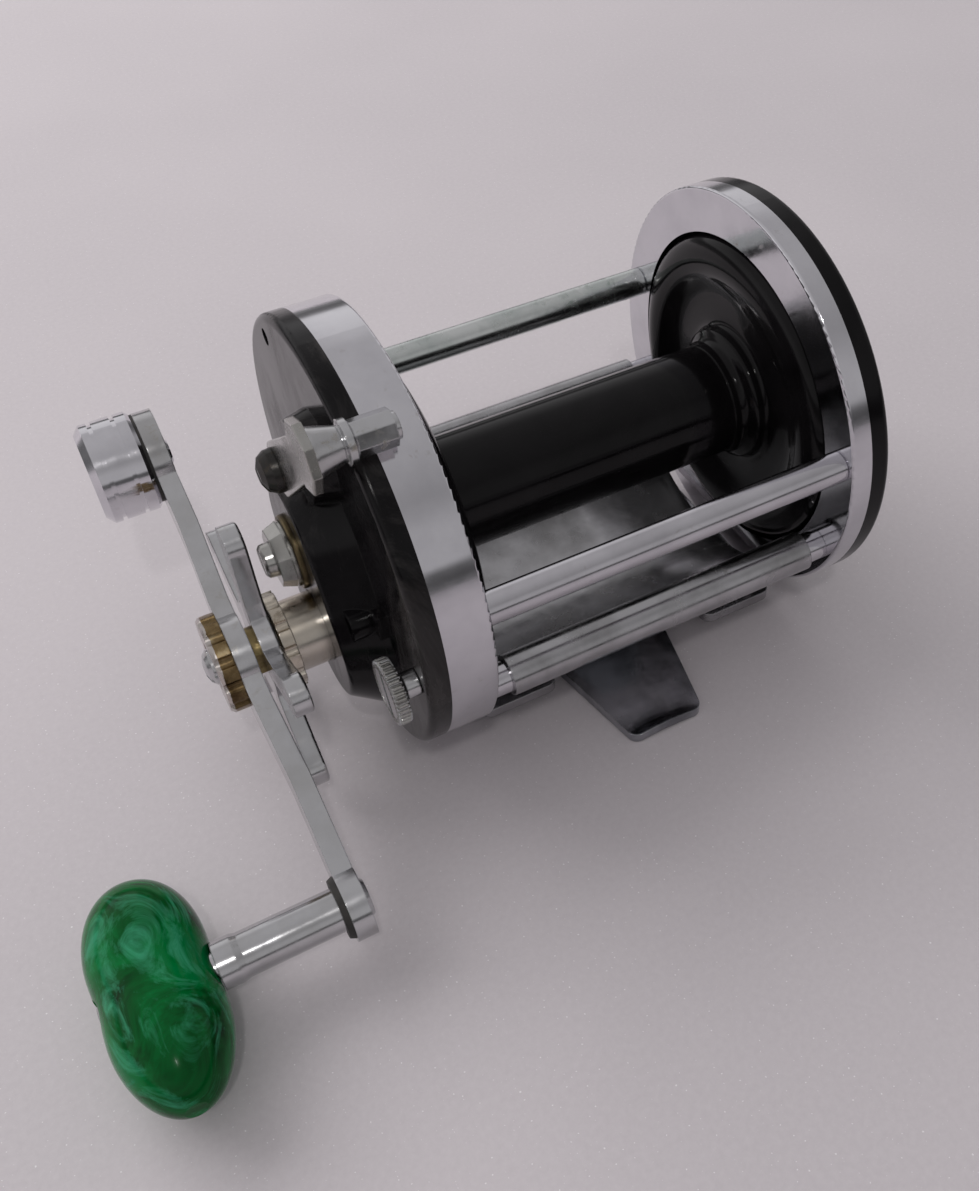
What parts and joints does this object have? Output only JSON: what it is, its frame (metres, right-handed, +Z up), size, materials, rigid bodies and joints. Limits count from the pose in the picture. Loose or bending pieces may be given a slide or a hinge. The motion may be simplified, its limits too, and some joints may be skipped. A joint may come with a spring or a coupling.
{
  "type": "conventional star-drag fishing reel",
  "caption": "Right-handed multiplying fishing reel: pillar frame, star drag, counterweighted crank, free-spool lever, slotted rod-clamp stand and foot.",
  "frame": {"origin": "on the ground plane under the spool axis, midway between the two frame rings; the two side rings and the tips of the foot lie on Z = 0", "axes": "+X along the spool axis from the handle side to the tail side, +Y to the back (away from the line), +Z up from the foot"},
  "size_m": [0.1471, 0.1078, 0.076],
  "materials": {
    "black_plate": "polished black moulded resin, lightly worn",
    "black_spool": "glossy black moulded resin",
    "ring_chrome": "worn nickel-silver ring, bright with fine scratches",
    "pillar_plate": "plated bar, dulled",
    "stand_plate": "plated sheet, tarnished",
    "foot_plate": "dark tarnished plating",
    "screw_metal": "dull plated brass screw",
    "arm_plate": "plated arm, satin wear",
    "brass_bare": "bare and aged brass",
    "steel": "hardened steel",
    "bronze": "bearing bronze",
    "fibre": "hard fibre",
    "knob_marble": "green marbled cast resin",
    "dark_washer": "dark washer"
  },
  "bodies": {
    "frame": {"handle_side_ring": "ring_chrome", "tail_side_ring": "ring_chrome", "front_upper_pillar": "pillar_plate", "rear_upper_pillar": "pillar_plate", "front_lower_pillar": "pillar_plate", "rear_lower_pillar": "pillar_plate", "handle_ring_screws": "screw_metal", "tail_plate_screws": "screw_metal", "handle_side_plate": "black_plate", "tail_side_plate": "black_plate", "reel_stand": "stand_plate", "reel_foot": "foot_plate", "foot_rivets": "screw_metal", "bridge_plate": "brass_bare", "bridge_screws": "screw_metal", "gear_post": "steel", "dog_screw": "screw_metal", "takedown_bush": "brass_bare", "yoke_springs": "steel", "handle_cap_washer": "brass_bare"},
    "spool": {"spool": "black_spool", "spool_shaft": "steel", "click_wheel": "steel"},
    "pinion": {"pinion": "steel"},
    "yoke": {"pinion_yoke": "brass_bare"},
    "crank": {"gear_sleeve": "brass_bare", "main_gear": "brass_bare", "fibre_drag_washers": "fibre", "keyed_drag_washers": "steel", "drag_spring_washer": "steel", "drag_collar": "arm_plate", "anti_reverse_ratchet": "steel", "crank_arm": "arm_plate", "handle_nut": "brass_bare", "handle_screw": "screw_metal", "counterweight": "arm_plate", "counterweight_washer": "dark_washer", "knob_spindle": "arm_plate", "spindle_washer": "dark_washer", "knob_rivet": "screw_metal"},
    "star": {"star_wheel": "arm_plate"},
    "knob": {"knob": "knob_marble"},
    "dog": {"anti_reverse_dog": "steel"},
    "lever": {"free_spool_cam": "steel", "free_spool_lever": "arm_plate", "lever_thumb_knob": "arm_plate", "lever_screw": "screw_metal"},
    "handle_cap": {"handle_bearing_cap": "arm_plate", "handle_cap_bushing": "bronze"},
    "tail_cap": {"tail_bearing_cap": "arm_plate", "tail_cap_bushing": "bronze"},
    "takedown": {"takedown_screw": "screw_metal"},
    "click": {"click_button": "arm_plate", "click_pawl": "steel"}
  },
  "joints": [
    {"name": "crank_spin", "type": "hinge", "parent": "frame", "child": "crank", "pos_m": [-0.05, -0.00556, 0.0242], "axis": [1, 0, 0], "continuous": true},
    {"name": "spool_spin", "type": "hinge", "parent": "frame", "child": "spool", "pos_m": [0, 0, 0.0365], "axis": [1, 0, 0], "continuous": true},
    {"name": "yoke_lift", "type": "slide", "parent": "frame", "child": "yoke", "axis": [-1, 0, 0], "range_m": [0, 0.0024], "deforming": ["yoke_springs"]},
    {"name": "pinion_spin", "type": "hinge", "parent": "yoke", "child": "pinion", "pos_m": [-0.038, 0, 0.0365], "axis": [1, 0, 0], "continuous": true},
    {"name": "free_spool", "type": "hinge", "parent": "frame", "child": "lever", "pos_m": [-0.047, -0.0027, 0.0554], "axis": [-1, 0, 0], "range_deg": [0, 70]},
    {"name": "star_drag", "type": "hinge", "parent": "crank", "child": "star", "pos_m": [-0.06, -0.00556, 0.0242], "axis": [1, 0, 0], "range_deg": [-180, 180]},
    {"name": "knob_spin", "type": "hinge", "parent": "crank", "child": "knob", "pos_m": [-0.0934, -0.0473, 0.00908], "axis": [1, 0, 0], "continuous": true},
    {"name": "dog_swing", "type": "hinge", "parent": "frame", "child": "dog", "pos_m": [-0.036, 0.00628, 0.01989], "axis": [1, 0, 0], "range_deg": [0, 12]},
    {"name": "handle_cap_turn", "type": "hinge", "parent": "frame", "child": "handle_cap", "pos_m": [-0.051, 0, 0.0365], "axis": [1, 0, 0], "range_deg": [-180, 180]},
    {"name": "tail_cap_turn", "type": "hinge", "parent": "frame", "child": "tail_cap", "pos_m": [0.042, 0, 0.0365], "axis": [1, 0, 0], "range_deg": [-180, 180]},
    {"name": "takedown_turn", "type": "hinge", "parent": "frame", "child": "takedown", "pos_m": [-0.045, -0.032, 0.03291], "axis": [1, 0, 0], "range_deg": [0, 360]},
    {"name": "click_slide", "type": "slide", "parent": "frame", "child": "click", "axis": [0, 0, -1], "range_m": [0, 0.0038]}
  ],
  "couplings": [
    {"joint": "spool_spin", "follows": "crank_spin", "ratio": -2.75},
    {"joint": "pinion_spin", "follows": "crank_spin", "ratio": -2.75},
    {"joint": "yoke_lift", "follows": "free_spool", "m_per_rad": 0.0019644}
  ]
}
